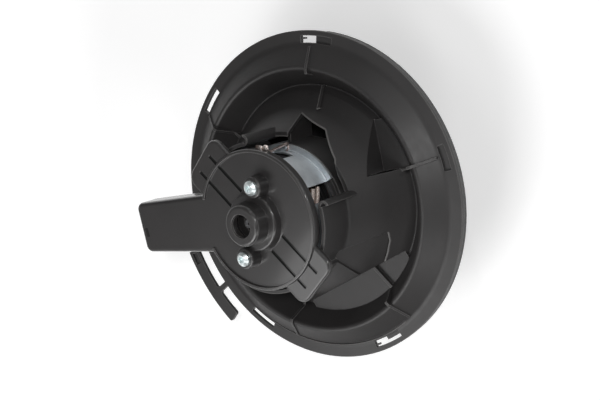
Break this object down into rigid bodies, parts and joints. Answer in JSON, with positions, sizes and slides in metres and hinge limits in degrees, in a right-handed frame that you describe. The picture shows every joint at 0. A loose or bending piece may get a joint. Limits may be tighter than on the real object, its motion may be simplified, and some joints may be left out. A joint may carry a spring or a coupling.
{
  "type": "car cabin blower motor",
  "caption": "Cabin blower motor in a round black mounting flange with bayonet slots, foam seal, ribbed rear cover, side socket arm and a squirrel cage fan wheel.",
  "frame": {"origin": "on the motor's axis, in the plane of the mounting rim's outer face", "axes": "+Z along the motor's axis towards the rear cover, -X towards the supply socket"},
  "size_m": [0.2151, 0.2, 0.1208],
  "materials": {
    "black_plastic": "moulded, satin",
    "wheel_plastic": "moulded, fine grain",
    "grey_foam": "open cell foam, matt",
    "zinc_steel": "zinc plated",
    "can_steel": "deep drawn and plated",
    "spring_steel": "bare spring steel",
    "ferrite": "sintered, matt",
    "bronze": "sintered, oiled",
    "shaft_steel": "ground",
    "core_steel": "stacked sheet",
    "copper": "enamelled or bare copper",
    "brown_resin": "moulded resin",
    "graphite": "pressed carbon",
    "brass_sheet": "pressed",
    "tinned_brass": "tin plated",
    "black_rubber": "moulded, matt"
  },
  "bodies": {
    "housing": {"mounting_flange": "black_plastic", "foam_seal": "grey_foam", "rear_cover": "black_plastic", "cover_screws": "zinc_steel", "motor_can": "can_steel", "magnets": "ferrite", "magnet_clips": "spring_steel", "front_bearing": "bronze", "rear_bearing": "bronze", "bearing_retainers": "spring_steel", "brush_plate": "black_plastic", "brush_holders": "brass_sheet", "brushes": "graphite", "brush_springs": "spring_steel", "supply_blades": "tinned_brass", "plate_terminals": "copper", "choke_cores": "ferrite", "choke_coils": "copper", "rubber_sleeve": "black_rubber"},
    "rotor": {"shaft": "shaft_steel", "armature_core": "core_steel", "armature_windings": "copper", "commutator": "copper", "commutator_sleeve": "brown_resin", "thrust_washers": "brown_resin", "fan_wheel": "wheel_plastic", "wheel_clip": "spring_steel"}
  },
  "joints": [
    {"name": "rotor_spin", "type": "hinge", "parent": "housing", "child": "rotor", "pos_m": [0, 0, 0], "axis": [0, 0, 1], "continuous": true}
  ]
}
